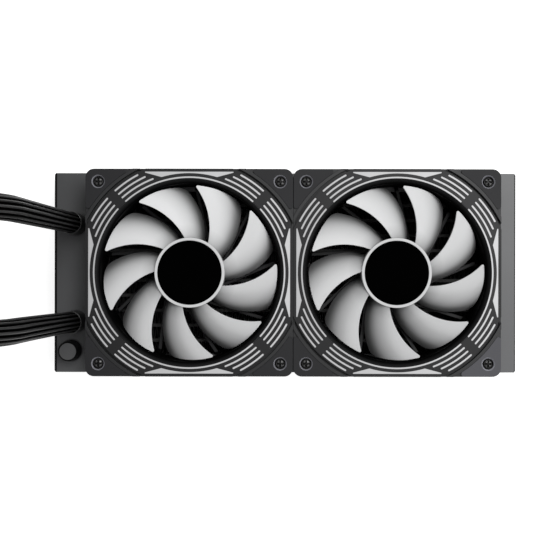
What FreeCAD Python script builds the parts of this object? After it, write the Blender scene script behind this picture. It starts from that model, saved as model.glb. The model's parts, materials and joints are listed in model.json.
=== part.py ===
import FreeCAD, Part
import math
import os

# All in one liquid cooler for a computer processor, lying on the back of its radiator.
# Millimetres. Origin: centre of the radiator's back screw pattern, midway between the two fans.
# +X runs along the radiator away from the hoses, +Y across it, +Z from the radiator through the fans.

Vector = FreeCAD.Vector
Z_AXIS = Vector(0, 0, 1)
ORIGIN = Vector(0, 0, 0)

# General fits
seat_gap = 0.05           # between pieces that seat in each other
cut_over = 1.0            # how far a cutting tool runs past the face that it cuts

# Fans
fan_size = 119.9
fan_depth = 25.0
fan_gap = 0.1             # between the two fans
fan_corner_r = 5.0
fan_hole_inset = 7.45     # screw holes, from the fan's sides
fan_hole_r = 2.15
flange_depth = 4.0        # rear screw flange of the frame
front_flange = 6.0        # front screw flange, below the corner pads
duct_wall = 9.8           # between the flanges, where the square does not cut it
bore_inset = 8.25         # duct bore, from the fan's sides
lip_flare = 2.7           # widening of the bore at its front
lip_depth = 2.7
lip_land = 0.15
pocket_wall = 0.85        # beside the recess that holds the light guide
pocket_depth = 2.5        # below the front face
groove_width = 1.35       # open groove round the cover
rim_width = 1.85          # raised rim outside that groove
vane_count = 9
vane_start = -22.0
vane_sweep = 30.0
vane_wall = 1.8
vane_depth = 4.0
motor_base_lip = 0.15     # motor base beyond the hub
motor_base_depth = 2.0

# Light ring
guide_depth = 1.5
guide_side_gap = 0.2
guide_drop = 0.1          # tops of the light guide's bars, below the cover's face
cover_depth = 1.0
cover_overhang = 0.5      # cover beyond the light guide
cover_margin = 1.4        # cover outside the middle of its outer arcs
ring_width = 0.9          # thin light ring round the duct
arc_count = 3
arc_first = 2.35          # middle of the inner arcs, out from the thin ring
arc_pitch = 2.85
arc_width = 1.0
diagonal_half = 2.8       # half the black band on each diagonal
slant_near = 20.8         # far end of the inner arcs, degrees from the middle of the side
slant_turn = 14.34        # slope of the line that the arcs' far ends lie on, in degrees
window_edge = 1.75        # cover between the side window and the fan's side
window_turn = 23.65       # half the window's length, in degrees at its outer edge
window_inner_turn = 16.2  # half the length of its arched part, in degrees
window_end = 0.6          # height of the window at its ends
window_ring_gap = 1.8     # cover between the thin ring and the window
board_inset = 3.6         # light board, from the duct's bore
board_width = 2.6
board_depth = 1.2
board_groove = 2.0
led_offset = 9.0          # each lamp, from the middle of its side of the board
led_size = 2.4
led_height = 0.6

# Corner pads
pad_depth = 1.0
pad_inset = 0.15
pad_joint = 0.15          # between the pad and the raised rim
pad_tip_r = 1.5
pad_hole_r = 3.25
pad_hole_bevel = 0.6
screw_well_r = 3.2        # counterbore under the pad, for the screw's head
screw_well_depth = 1.0

# Radiator
radiator_depth = 27.0
hole_side_inset = 7.5     # screw holes, from the radiator's sides
core_short = 1.0          # headers, in from the fans' outer sides
left_tank_length = 24.7
right_tank_length = 15.8
tank_wall = 1.6
tank_bevel = 1.0
divider_wall = 1.6
tube_count = 12
tube_thickness = 1.8
tube_wall = 0.35
tube_end_stand = 1.0      # tube end inside the tank, past the header
core_inset = 5.5          # tubes and fins, in from the radiator's faces
fin_folds = 40            # folds in one fin strip
fin_wall = 0.35
side_web = 1.5
side_flange = 2.0
flange_reach = 11.0       # flange width, from the radiator's side
case_hole_r = 1.5
cap_out = 14.2            # fill cap, out from the header
cap_side_inset = 13.2     # fill cap, from the radiator's side
cap_r = 5.9
cap_height = 10.5
cap_stem_r = 4.0
cap_seal_r = 5.2
cap_seal_height = 1.0

# Hoses and ports
port_out = 11.5           # hose ports, out from the header
port_y = 29.3
port_bore_r = 3.0
collar_r = 6.5
collar_height = 6.0
hose_r = 6.1
arc_share = 0.45          # arc's tangent length as a share of the shorter run beside it

# Rotor
blade_count = 9
hub_r = 20.25
hub_front = 23.0          # hub's front face, from the fan's rear face
hub_rear = 7.0
hub_wall = 1.4
hub_top = 2.2
hub_skin = 0.9            # between the shaft's end and the disc
hub_rim = 1.65            # white rim round the black disc
cap_disc_depth = 0.6
tip_gap = 0.95            # between the blades' tips and the bore
lead_angle = 98.2         # leading edge at the hub, degrees from +X
lead_turn = 0.935         # leading edge's turn per millimetre outwards
blade_span = 31.6         # degrees from leading to trailing edge
blade_lead_z = 22.2
blade_trail_z = 8.3
blade_curl = 3.0          # power by which the blade falls from its leading to its trailing edge
blade_wall = 1.4          # upright thickness at the leading edge
blade_swell = 0.6         # share that this grows by toward the steep trailing edge
blade_stations = 7        # points of the section's curve, inside the outline
lead_corner_r = 0.8
trail_corner_r = 7.0
sheet_over_turn = 2.0     # the blade's sheet before trimming, past its outline, in degrees
sheet_over_in = 4.0
sheet_over_out = 3.0
shaft_r = 1.5
shaft_seat = 0.01         # clearance in the hub's boss
shaft_run = 0.04          # running clearance in the bearing
bearing_r = 3.5
bearing_tube_r = 4.6
bearing_front = 17.5
bearing_rear = 2.0
boss_r = 3.4
boss_depth = 2.0
magnet_wall = 1.9
magnet_rear = 8.0
magnet_front = 17.0
air_gap = 0.6             # between magnet and stator
stator_neck = 3.4
stator_rear = 9.5
stator_front = 15.5
stator_ring_r = 7.0
pole_tip = 2.2
pole_half_angle = 36.0
coil_grow = 2.4
coil_end_gap = 0.7        # between a coil and its pole tip
motor_board_half = 13.0
motor_board_rear = 4.0
motor_board_depth = 1.2

# Fan screws
screw_r = 1.45
screw_reach = 5.0         # screw's tip, below the radiator's front face
screw_head_r = 2.75
screw_head_height = 1.6

# Pump head
pump_x = -232.0
pump_y = 0.0
plate_half = 27.0
plate_corner_r = 4.0
plate_depth = 3.0
plate_fin_count = 9
plate_fin_wall = 0.8
plate_fin_pitch = 2.6
plate_fin_length = 24.0
plate_fin_height = 3.0
plate_seal_depth = 1.0
plate_seal_width = 2.4
plate_seal_inset = 1.6
pump_r = 32.0
base_foot = 4.0           # square foot of the base, over the cold plate
base_height = 15.0        # chamber base, from the plate's seal to the motor housing
base_chamber_r = 22.0
base_chamber_height = 10.0
housing_height = 24.0
housing_wall = 2.0
can_r = 7.0               # dry side of the motor well
can_wall = 1.0
cover_plate_depth = 3.0
cover_edge_r = 1.5
impeller_r = 16.0
impeller_disc = 1.6
impeller_vanes = 6
impeller_vane_wall = 1.6
impeller_vane_height = 3.0
impeller_hub_r = 5.0
impeller_hub_height = 9.0
pump_shaft_r = 1.2
impeller_floor_gap = 1.0
pump_stator_outer = 14.0
pump_stator_height = 8.0
pump_board_half = 17.0
pump_board_depth = 1.4
bracket_depth = 2.5
bracket_rise = 2.0        # bracket above the joint of base and housing
bracket_arm = 10.0
bracket_ring_r = 35.5
bracket_hole_half = 37.5
bracket_hole_r = 2.0
bracket_end_r = 5.0
elbow_y = 12.0
elbow_r = 5.0
elbow_reach = 12.5        # from the base's wall to the barb's axis
elbow_height = 10.0       # elbow's axis, above the plate's seal
barb_height = 14.0        # barb above the elbow's axis


def box(x_low, x_high, y_low, y_high, z_low, z_high):
    return Part.makeBox(x_high - x_low, y_high - y_low, z_high - z_low, Vector(x_low, y_low, z_low))


def rod(radius, z_low, z_high, x=0.0, y=0.0):
    return Part.makeCylinder(radius, z_high - z_low, Vector(x, y, z_low))


def tube(outer, inner, z_low, z_high, x=0.0, y=0.0):
    return rod(outer, z_low, z_high, x, y).cut(rod(inner, z_low - cut_over, z_high + cut_over, x, y))


def polar(radius, degrees, z=0.0):
    angle = math.radians(degrees)
    return Vector(radius * math.cos(angle), radius * math.sin(angle), z)


def turned(shape, degrees):
    copy = shape.copy()
    copy.rotate(ORIGIN, Z_AXIS, degrees)
    return copy


def moved(shape, x, y, z):
    copy = shape.copy()
    copy.translate(Vector(x, y, z))
    return copy


def prism(edges, z_low, z_high):
    face = Part.Face(Part.Wire(edges))
    return moved(face, 0, 0, z_low).extrude(Vector(0, 0, z_high - z_low))


def polygon(points, z_low, z_high):
    closed = points + [points[0]]
    face = Part.Face(Part.makePolygon(closed))
    return moved(face, 0, 0, z_low).extrude(Vector(0, 0, z_high - z_low))


def line(start, end):
    return Part.LineSegment(start, end).toShape()


def arc(start, middle, end):
    return Part.Arc(start, middle, end).toShape()


def rounded_square(half, corner_r, z_low, z_high):
    """A square prism with its four upright edges rounded."""
    block = box(-half, half, -half, half, z_low, z_high)
    upright = [e for e in block.Edges if abs(e.Vertexes[0].Z - e.Vertexes[-1].Z) > (z_high - z_low) / 2]
    return block.makeFillet(corner_r, upright)


def arc_bar(radius, width, start, end, z_low, z_high, end_bulge=0.0):
    """A flat bar that follows a circle about Z from one angle to another, with flat or bulging ends."""
    inner = radius - width / 2
    outer = radius + width / 2
    middle = (start + end) / 2
    if end_bulge:
        bulge = math.degrees(end_bulge / radius)
        start += bulge
        end -= bulge
        far_end = arc(polar(inner, end), polar(radius, end + bulge), polar(outer, end))
        near_end = arc(polar(outer, start), polar(radius, start - bulge), polar(inner, start))
    else:
        far_end = line(polar(inner, end), polar(outer, end))
        near_end = line(polar(outer, start), polar(inner, start))
    edges = [
        arc(polar(inner, start), polar(inner, middle), polar(inner, end)),
        far_end,
        arc(polar(outer, end), polar(outer, middle), polar(outer, start)),
        near_end,
    ]
    return prism(edges, z_low, z_high)


def fuse(shapes):
    whole = shapes[0].multiFuse(shapes[1:]) if len(shapes) > 1 else shapes[0]
    return whole.removeSplitter()


def quarter_turns(shape):
    return [turned(shape, 90.0 * quarter) for quarter in range(4)]


# Places that the fans' screw pattern gives

fan_pitch = fan_size + fan_gap
fan_hole_pitch = fan_size - 2 * fan_hole_inset
corner_hole = fan_hole_pitch / 2
hole_x = [fan_pitch / 2 - corner_hole, fan_pitch / 2 + corner_hole]
hole_columns = [-hole_x[1], -hole_x[0], hole_x[0], hole_x[1]]


# Radiator

half_width = corner_hole + hole_side_inset
core_half = fan_pitch - core_short
core_low = core_inset
core_high = radiator_depth - core_inset
tube_pitch = (2 * (half_width - side_web) + tube_thickness) / (tube_count + 1)
tube_rows = [(row - (tube_count - 1) / 2) * tube_pitch for row in range(tube_count)]
port_x = -core_half - port_out
cap_x = -core_half - cap_out
cap_y = cap_side_inset - half_width


def tank(side, length, divided):
    """A closed tank from the header face outwards, slotted for the core's tubes."""
    header = side * core_half
    outer_end = side * (core_half + length)
    low, high = sorted((header, outer_end))
    body = box(low, high, -half_width, half_width, 0, radiator_depth)
    end_edges = [e for e in body.Edges if abs(e.CenterOfMass.x - outer_end) < tank_wall / 4]
    body = body.makeChamfer(tank_bevel, end_edges)
    inner = half_width - tank_wall
    hollow = box(low + tank_wall, high - tank_wall, -inner, inner, tank_wall, radiator_depth - tank_wall)
    if divided:
        hollow = hollow.cut(box(low, high, -divider_wall / 2, divider_wall / 2, 0, radiator_depth))
    slot_half = tube_thickness / 2 + seat_gap
    slots = [
        box(
            header - tank_wall - seat_gap, header + tank_wall + seat_gap,
            y - slot_half, y + slot_half, core_low - seat_gap, core_high + seat_gap,
        )
        for y in tube_rows
    ]
    return body.cut([hollow] + slots)


def left_tank():
    low = radiator_depth - tank_wall - cut_over
    high = radiator_depth + cut_over
    openings = [rod(port_bore_r, low, high, port_x, side * port_y) for side in (-1, 1)]
    openings.append(rod(cap_stem_r, low, high, cap_x, cap_y))
    return tank(-1, left_tank_length, True).cut(openings)


def core_tubes():
    end = core_half + tank_wall + tube_end_stand
    bars = []
    for y in tube_rows:
        half = tube_thickness / 2
        outside = box(-end, end, y - half, y + half, core_low, core_high)
        bore_half = half - tube_wall
        bore = box(
            -end - cut_over, end + cut_over, y - bore_half, y + bore_half,
            core_low + tube_wall, core_high - tube_wall,
        )
        bars.append(outside.cut(bore))
    return Part.makeCompound(bars)


def fin_strip(y_low, y_high):
    """One sheet folded in a zigzag between two tubes, along the whole core."""
    start = -core_half + seat_gap
    pitch = 2 * (core_half - seat_gap) / fin_folds
    lower = []
    upper = []
    for fold in range(fin_folds + 1):
        x = start + fold * pitch
        y = y_low if fold % 2 == 0 else y_high - fin_wall
        lower.append(Vector(x, y, 0))
        upper.append(Vector(x, y + fin_wall, 0))
    return polygon(lower + upper[::-1], core_low, core_high)


def core_fins():
    half = tube_thickness / 2 + seat_gap
    strips = [fin_strip(low + half, high - half) for low, high in zip(tube_rows, tube_rows[1:])]
    outermost = half_width - side_web - seat_gap
    strips.append(fin_strip(tube_rows[-1] + half, outermost))
    strips.append(fin_strip(-outermost, tube_rows[0] - half))
    return Part.makeCompound(strips)


def side_plate(side):
    """A channel along the core, with four screw holes in each of its two flanges."""
    reach = half_width - flange_reach
    end = core_half - seat_gap
    profile = [
        Vector(0, reach, 0), Vector(0, half_width, 0),
        Vector(0, half_width, radiator_depth), Vector(0, reach, radiator_depth),
        Vector(0, reach, radiator_depth - side_flange),
        Vector(0, half_width - side_web, radiator_depth - side_flange),
        Vector(0, half_width - side_web, side_flange), Vector(0, reach, side_flange),
    ]
    wire = Part.makePolygon(profile + [profile[0]])
    channel = moved(Part.Face(wire), -end, 0, 0).extrude(Vector(2 * end, 0, 0))
    holes = [rod(case_hole_r, -cut_over, radiator_depth + cut_over, x, corner_hole) for x in hole_columns]
    channel = channel.cut(holes)
    if side < 0:
        channel = channel.mirror(ORIGIN, Vector(0, 1, 0))
    return channel


def fill_cap():
    seat = radiator_depth + cap_seal_height
    head = rod(cap_r, seat, radiator_depth + cap_height, cap_x, cap_y)
    rim = [e for e in head.Edges if abs(e.CenterOfMass.z - radiator_depth - cap_height) < seat_gap]
    head = head.makeChamfer(tank_bevel / 2, rim[:1])
    stem = rod(cap_stem_r - seat_gap, radiator_depth - tank_wall, seat, cap_x, cap_y)
    return fuse([head, stem])


def cap_seal():
    return tube(cap_seal_r, cap_stem_r, radiator_depth, radiator_depth + cap_seal_height, cap_x, cap_y)


def tank_collar(side):
    return tube(collar_r, port_bore_r, radiator_depth, radiator_depth + collar_height, port_x, side * port_y)


# Pump head places, which the hoses end on

plate_top = plate_depth + plate_seal_depth
base_top = plate_top + base_height
housing_top = base_top + housing_height
elbow_x = pump_x - pump_r - elbow_reach
elbow_z = plate_top + elbow_height
barb_top = elbow_z + barb_height

# Hoses. The points of the upper hose's route, from its collar to its barb; the lower hose mirrors them.

hose_points = [
    (port_x, port_y, radiator_depth + collar_height),
    (port_x, port_y, 181.0),
    (-161.5, 27.6, 218.5),
    (-209.0, 24.6, 226.5),
    (-251.5, 20.6, 204.0),
    (-270.3, 16.0, 170.0),
    (elbow_x, elbow_y, 100.0),
    (elbow_x, elbow_y, barb_top),
]


def hose(side):
    """A round hose along straight runs joined by tangent arcs."""
    points = [Vector(x, side * y, z) for x, y, z in hose_points]
    edges = []
    start = points[0]
    radii = []
    for before, corner, after in zip(points, points[1:], points[2:]):
        run_in = corner - before
        run_out = after - corner
        turn = run_in.getAngle(run_out)
        reach = arc_share * min(run_in.Length, run_out.Length)
        radii.append(reach / math.tan(turn / 2))
        way_in = Vector(run_in).normalize()
        way_out = Vector(run_out).normalize()
        enter = corner - way_in * reach
        leave = corner + way_out * reach
        inward = Vector(way_out - way_in).normalize()
        depth = radii[-1] * (1 / math.cos(turn / 2) - 1)
        edges.append(line(start, enter))
        edges.append(arc(enter, corner + inward * depth, leave))
        start = leave
    edges.append(line(start, points[-1]))
    path = Part.Wire(edges)
    section = Part.Wire([Part.Circle(points[0], points[1] - points[0], hose_r).toShape()])
    solid = path.makePipeShell([section], True, False)
    expected = math.pi * hose_r ** 2 * path.Length
    print("hose length", round(path.Length, 1), "radii", [round(r, 1) for r in radii])
    print("hose volume over section times length", round(solid.Volume / expected, 4))
    return solid


# Fans, modelled about their own axis with the rear face at zero

half_fan = fan_size / 2
pocket_floor = fan_depth - pocket_depth
land_top = fan_depth - pad_depth
guide_top = pocket_floor + guide_depth
shaft_front = hub_front - cap_disc_depth - hub_skin

# Radii of the front's rings, from the bore outwards

bore_r = half_fan - bore_inset
lip_r = bore_r + lip_flare
collar_wall_r = lip_r + lip_land
ring_inner_r = collar_wall_r + seat_gap
ring_middle_r = ring_inner_r + ring_width / 2
cover_inner_r = ring_inner_r + ring_width + seat_gap
arc_radii = [cover_inner_r + arc_first + number * arc_pitch for number in range(arc_count)]
cover_r = arc_radii[-1] + cover_margin
pocket_r = cover_r + groove_width
rim_r = pocket_r + rim_width
pad_inner_r = rim_r + pad_joint
board_inner = bore_r + board_inset
board_outer = board_inner + board_width
window_top = half_fan - window_edge
window_inner_r = cover_inner_r + window_ring_gap

# Radii of the motor, from the hub inwards

cap_disc_r = hub_r - hub_rim
magnet_outer_r = hub_r - hub_wall - seat_gap
magnet_inner_r = magnet_outer_r - magnet_wall
stator_r = magnet_inner_r - air_gap
tip_r = bore_r - tip_gap


def fan_block(radius, half, z_low, z_high):
    """A rod with four flats, which a square cuts from it."""
    return rod(radius, z_low, z_high).common(box(-half, half, -half, half, z_low, z_high))


def corner_rods(radius, z_low, z_high):
    return [rod(radius, z_low, z_high, x * corner_hole, y * corner_hole) for x in (-1, 1) for y in (-1, 1)]


def fan_frame():
    """The moulded frame: two screw flanges, duct wall with lip, rear vanes, motor base and bearing tube."""
    body = fuse([
        rounded_square(half_fan, fan_corner_r, 0, flange_depth),
        rounded_square(half_fan, fan_corner_r, land_top - front_flange, land_top),
        fan_block(bore_r + duct_wall, half_fan, 0, land_top),
        fan_block(rim_r, half_fan, land_top, fan_depth),
    ])
    pocket = fuse([
        fan_block(pocket_r, half_fan - pocket_wall, pocket_floor, land_top),
        rod(pocket_r, land_top, fan_depth + cut_over),
    ])
    groove = octagon(board_outer + seat_gap, pocket_floor - board_groove, pocket_floor + cut_over).cut(
        octagon(board_inner - seat_gap, 0, fan_depth)
    )
    screw_holes = corner_rods(fan_hole_r, -cut_over, fan_depth)
    screw_wells = corner_rods(screw_well_r, land_top - screw_well_depth, fan_depth)
    body = body.cut([pocket, groove] + screw_holes + screw_wells)
    lip = rod(collar_wall_r, pocket_floor - seat_gap, fan_depth)
    body = body.fuse(lip)
    lip_start = fan_depth - lip_depth
    bore = rod(bore_r, -cut_over, lip_start + seat_gap)
    flare = Part.makeCone(bore_r, lip_r, lip_depth, Vector(0, 0, lip_start))
    body = body.cut([bore, flare])
    base_r = hub_r + motor_base_lip
    inner = polar(base_r - cut_over, vane_start)
    outer = polar(bore_r + cut_over, vane_start + vane_sweep)
    way = Vector(outer - inner).normalize()
    across = Vector(-way.y, way.x, 0) * (vane_wall / 2)
    vane = polygon([inner - across, outer - across, outer + across, inner + across], 0, vane_depth)
    vanes = [turned(vane, number * 360.0 / vane_count) for number in range(vane_count)]
    base = rod(base_r, 0, motor_base_depth)
    bearing_tube = rod(bearing_tube_r, 0, bearing_front)
    body = fuse([body, base, bearing_tube] + vanes)
    return body.cut(rod(bearing_r + seat_gap, bearing_rear, bearing_front + cut_over))


def octagon(half, z_low, z_high):
    radius = half / math.cos(math.pi / 8)
    return polygon([polar(radius, 22.5 + 45 * corner) for corner in range(8)], z_low, z_high)


def light_board():
    """An octagonal board with its lamps, in the groove under the light guide."""
    low = pocket_floor - board_groove
    board = octagon(board_outer, low, low + board_depth).cut(octagon(board_inner, 0, fan_depth))
    middle = (board_inner + board_outer) / 2
    half = led_size / 2
    top = low + board_depth + led_height
    lamps = []
    for offset in (-led_offset, led_offset):
        lamp = box(middle - half, middle + half, offset - half, offset + half, low + board_depth, top)
        lamps += [turned(lamp, 45.0 * flat) for flat in range(8)]
    return fuse([board] + lamps)


def window_bar(grow, z_low, z_high):
    """The side window: straight outside, arched inside with straight shoulders. It may be grown all round."""
    top = window_top + grow
    half = window_top * math.tan(math.radians(window_turn)) + grow
    end = window_top - window_end - grow
    inner_r = window_inner_r - grow
    crown = polar(inner_r, 90.0)
    right_foot = polar(inner_r, 90.0 - window_inner_turn)
    left_foot = polar(inner_r, 90.0 + window_inner_turn)
    corners = [
        right_foot, Vector(half, end, 0), Vector(half, top, 0),
        Vector(-half, top, 0), Vector(-half, end, 0), left_foot,
    ]
    edges = [line(start, finish) for start, finish in zip(corners, corners[1:])]
    return prism(edges + [arc(left_foot, crown, right_foot)], z_low, z_high)


def light_bars(grow, z_low, z_high):
    """The lit lines of the front: four windows, four parts of the thin ring, and three arcs in each eighth
    of the circle. Grown by the fit, they are the cover's slots."""
    def ring_bar(radius, width, first, last):
        over = math.degrees(grow / radius)
        return arc_bar(radius, width + 2 * grow, first - over, last + over, z_low, z_high, width / 2 + grow)

    def diagonal(radius):
        return 45.0 - math.degrees(math.asin(diagonal_half / radius))

    far = diagonal(ring_middle_r)
    bars = [window_bar(grow, z_low, z_high), ring_bar(ring_middle_r, ring_width, 90 - far, 90 + far)]
    slant_line = arc_radii[0] * math.cos(math.radians(slant_near + slant_turn))
    for radius in arc_radii:
        near = math.degrees(math.acos(slant_line / radius)) - slant_turn
        far = diagonal(radius)
        bars.append(ring_bar(radius, arc_width, 90 + near, 90 + far))
        bars.append(ring_bar(radius, arc_width, 90 - far, 90 - near))
    return [quarter for bar in bars for quarter in quarter_turns(bar)]


def light_guide():
    """A clear plate under the cover, with a raised bar for each lit line."""
    half = half_fan - pocket_wall - guide_side_gap
    plate = fan_block(cover_r - cover_overhang, half, pocket_floor, guide_top)
    plate = plate.cut(rod(ring_inner_r, 0, fan_depth))
    return fuse([plate] + light_bars(0.0, guide_top, fan_depth - guide_drop))


def light_cover():
    """The black front cover, slotted for the light guide's bars, with a bridge to the duct's lip on each
    diagonal."""
    low = fan_depth - cover_depth
    plate = fan_block(cover_r, half_fan, low, fan_depth).cut(rod(ring_inner_r, 0, fan_depth + cut_over))
    return plate.cut(light_bars(seat_gap, low - cut_over, fan_depth + cut_over))


def corner_pads():
    """Four rubber pads with rounded tips, each with a bevelled hole round the screw's head."""
    low = land_top
    block = rounded_square(half_fan - pad_inset, fan_corner_r - pad_inset, low, low + pad_depth)
    ring = block.cut(rod(pad_inner_r, 0, fan_depth))
    pads = []
    for solid in ring.Solids:
        tips = [
            e for e in solid.Edges
            if abs(e.Vertexes[0].Z - e.Vertexes[-1].Z) > pad_depth / 2
            and abs(math.hypot(e.Vertexes[0].X, e.Vertexes[0].Y) - pad_inner_r) < seat_gap
        ]
        pads.append(solid.makeFillet(pad_tip_r, tips))
    holes = corner_rods(pad_hole_r, 0, fan_depth)
    bevels = [
        Part.makeCone(
            pad_hole_r, pad_hole_r + pad_hole_bevel, pad_hole_bevel,
            Vector(x * corner_hole, y * corner_hole, fan_depth - pad_hole_bevel),
        )
        for x in (-1, 1) for y in (-1, 1)
    ]
    return Part.makeCompound([pad.cut(holes + bevels) for pad in pads])


def lead_degrees(radius):
    return lead_angle + lead_turn * (radius - hub_r)


def blade_section(radius):
    """The blade's closed section at one radius. Its top falls by a power of the share of the chord, so it
    is flat at the leading edge and steep at the trailing edge."""
    over = sheet_over_turn / blade_span
    inside = [(station + 0.5) / blade_stations for station in range(blade_stations)]
    top = []
    under = []
    for share in [-over] + inside + [1 + over]:
        run = max(share, 0.0)
        height = blade_lead_z - (blade_lead_z - blade_trail_z) * run ** blade_curl
        thickness = blade_wall * (1 + blade_swell * run ** 2)
        degrees = lead_degrees(radius) - share * blade_span
        top.append(polar(radius, degrees, height))
        under.append(polar(radius, degrees, height - thickness))
    top_curve = Part.BSplineCurve()
    top_curve.interpolate(top)
    under_curve = Part.BSplineCurve()
    under_curve.interpolate(under[::-1])
    return Part.Wire([
        top_curve.toShape(), line(top[-1], under[-1]), under_curve.toShape(), line(under[0], top[0]),
    ])


def blade():
    """A cambered sheet lofted from hub to tip, trimmed to the blade's outline as seen from the front."""
    radii = (hub_r - sheet_over_in, (hub_r + tip_r) / 2, tip_r + sheet_over_out)
    sheet = Part.makeLoft([blade_section(radius) for radius in radii], True, False)
    root = hub_r - hub_wall / 2
    middle = (root + tip_r) / 2

    def lead(radius, back=0.0):
        return polar(radius, lead_degrees(radius) - back)

    outline = prism([
        arc(lead(root), lead(middle), lead(tip_r)),
        arc(lead(tip_r), lead(tip_r, blade_span / 2), lead(tip_r, blade_span)),
        arc(lead(tip_r, blade_span), lead(middle, blade_span), lead(root, blade_span)),
        arc(lead(root, blade_span), lead(root, blade_span / 2), lead(root)),
    ], 0, fan_depth)
    for corner, corner_r in ((lead(tip_r), lead_corner_r), (lead(tip_r, blade_span), trail_corner_r)):
        upright = [
            e for e in outline.Edges
            if abs(e.Vertexes[0].Z - e.Vertexes[-1].Z) > fan_depth / 2
            and math.hypot(e.Vertexes[0].X - corner.x, e.Vertexes[0].Y - corner.y) < seat_gap
        ]
        outline = outline.makeFillet(corner_r, upright)
    return sheet.common(outline)


def rotor():
    """Hub cup with its blades, a boss for the shaft and a seat for the black disc."""
    cup = rod(hub_r, hub_rear, hub_front)
    hollow = rod(hub_r - hub_wall, hub_rear - cut_over, hub_front - hub_top)
    seat = rod(cap_disc_r + seat_gap, hub_front - cap_disc_depth, hub_front + cut_over)
    boss = rod(boss_r, hub_front - hub_top - boss_depth, hub_front - hub_top + seat_gap)
    cup = fuse([cup.cut([hollow, seat]), boss])
    single = blade()
    blades = [turned(single, number * 360.0 / blade_count) for number in range(blade_count)]
    whole = fuse([cup] + blades)
    return whole.cut(rod(shaft_r + shaft_seat, 0, shaft_front))


def hub_disc():
    return rod(cap_disc_r, hub_front - cap_disc_depth, hub_front)


def fan_shaft():
    return rod(shaft_r, bearing_rear + seat_gap, shaft_front - seat_gap)


def bearing():
    return tube(bearing_r, shaft_r + shaft_run, bearing_rear + seat_gap, bearing_front)


def magnet():
    return tube(magnet_outer_r, magnet_inner_r, magnet_rear, magnet_front)


def stator():
    """Laminated core with four poles about the bearing tube."""
    hub = rod(stator_ring_r, stator_rear, stator_front)
    tip_middle = stator_r - pole_tip / 2
    neck = box(0, tip_middle, -stator_neck / 2, stator_neck / 2, stator_rear, stator_front)
    tip = arc_bar(tip_middle, pole_tip, -pole_half_angle, pole_half_angle, stator_rear, stator_front)
    whole = fuse([hub] + quarter_turns(fuse([neck, tip])))
    return whole.cut(rod(bearing_tube_r + seat_gap, 0, fan_depth))


def coils():
    half = stator_neck / 2
    start = stator_ring_r + coil_end_gap
    end = stator_r - pole_tip - coil_end_gap
    outside = box(
        start, end, -half - coil_grow, half + coil_grow,
        stator_rear - coil_grow / 2, stator_front + coil_grow / 2,
    )
    neck = box(
        start - cut_over, end + cut_over, -half - seat_gap, half + seat_gap,
        stator_rear - seat_gap, stator_front + seat_gap,
    )
    return Part.makeCompound(quarter_turns(outside.cut(neck)))


def motor_board():
    board = octagon(motor_board_half, motor_board_rear, motor_board_rear + motor_board_depth)
    return board.cut(rod(bearing_tube_r + seat_gap, 0, fan_depth))


def fan_screws():
    seat = radiator_depth + land_top - screw_well_depth
    screws = []
    for x in hole_columns:
        for y in (-corner_hole, corner_hole):
            head = rod(screw_head_r, seat, seat + screw_head_height, x, y)
            shank = rod(screw_r, radiator_depth - screw_reach, seat, x, y)
            screws.append(fuse([head, shank]))
    return Part.makeCompound(screws)


# Pump head, modelled about its own axis on the floor

def cold_plate():
    plate = rounded_square(plate_half, plate_corner_r, 0, plate_depth)
    first = -(plate_fin_count - 1) / 2 * plate_fin_pitch
    half = plate_fin_length / 2
    fins = [
        box(
            -half, half, first + number * plate_fin_pitch - plate_fin_wall / 2,
            first + number * plate_fin_pitch + plate_fin_wall / 2, plate_depth - seat_gap,
            plate_depth + plate_fin_height,
        )
        for number in range(plate_fin_count)
    ]
    return fuse([plate] + fins)


def plate_seal():
    outer = plate_half - plate_seal_inset
    frame = box(-outer, outer, -outer, outer, plate_depth, plate_top)
    inner = outer - plate_seal_width
    return frame.cut(box(-inner, inner, -inner, inner, 0, base_top))


def pump_base():
    """The chamber base: open below over the plate's fins, bored to both elbows."""
    foot = rounded_square(plate_half, plate_corner_r, plate_top, plate_top + base_foot)
    body = fuse([rod(pump_r, plate_top, base_top), foot])
    chamber = rod(base_chamber_r, plate_top - cut_over, plate_top + base_chamber_height)
    well = rod(impeller_hub_r + can_wall, plate_top, base_top + cut_over)
    start_x = -pump_r - cut_over
    bores = [
        Part.makeCylinder(port_bore_r, pump_r, Vector(start_x, side * elbow_y, elbow_z), Vector(1, 0, 0))
        for side in (-1, 1)
    ]
    return body.cut([chamber, well] + bores)


def pump_housing():
    """The motor housing, with the closed well that keeps the coolant from the stator."""
    shell = rod(pump_r, base_top, housing_top)
    inner = rod(pump_r - housing_wall, base_top + housing_wall, housing_top + cut_over)
    shell = shell.cut(inner)
    well_top = base_top + impeller_hub_height
    well = rod(can_r, base_top, well_top + can_wall)
    shell = fuse([shell, well])
    return shell.cut(rod(can_r - can_wall, base_top - cut_over, well_top))


def pump_cover():
    disc = rod(pump_r, housing_top, housing_top + cover_plate_depth)
    top_edges = [e for e in disc.Edges if abs(e.CenterOfMass.z - housing_top - cover_plate_depth) < seat_gap]
    return disc.makeFillet(cover_edge_r, top_edges[:1])


impeller_low = plate_depth + plate_fin_height + impeller_floor_gap


def impeller():
    disc_low = impeller_low + impeller_vane_height
    disc = rod(impeller_r, disc_low, disc_low + impeller_disc)
    hub = rod(impeller_hub_r, impeller_low, base_top + impeller_hub_height - impeller_floor_gap)
    vanes = [
        turned(
            box(impeller_hub_r - cut_over, impeller_r, 0, impeller_vane_wall, impeller_low, disc_low),
            number * 360.0 / impeller_vanes,
        )
        for number in range(impeller_vanes)
    ]
    whole = fuse([disc, hub] + vanes)
    return whole.cut(rod(pump_shaft_r + shaft_run, 0, housing_top))


def pump_shaft():
    low = plate_depth + plate_fin_height + seat_gap
    return rod(pump_shaft_r, low, base_top + impeller_hub_height - seat_gap)


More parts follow.
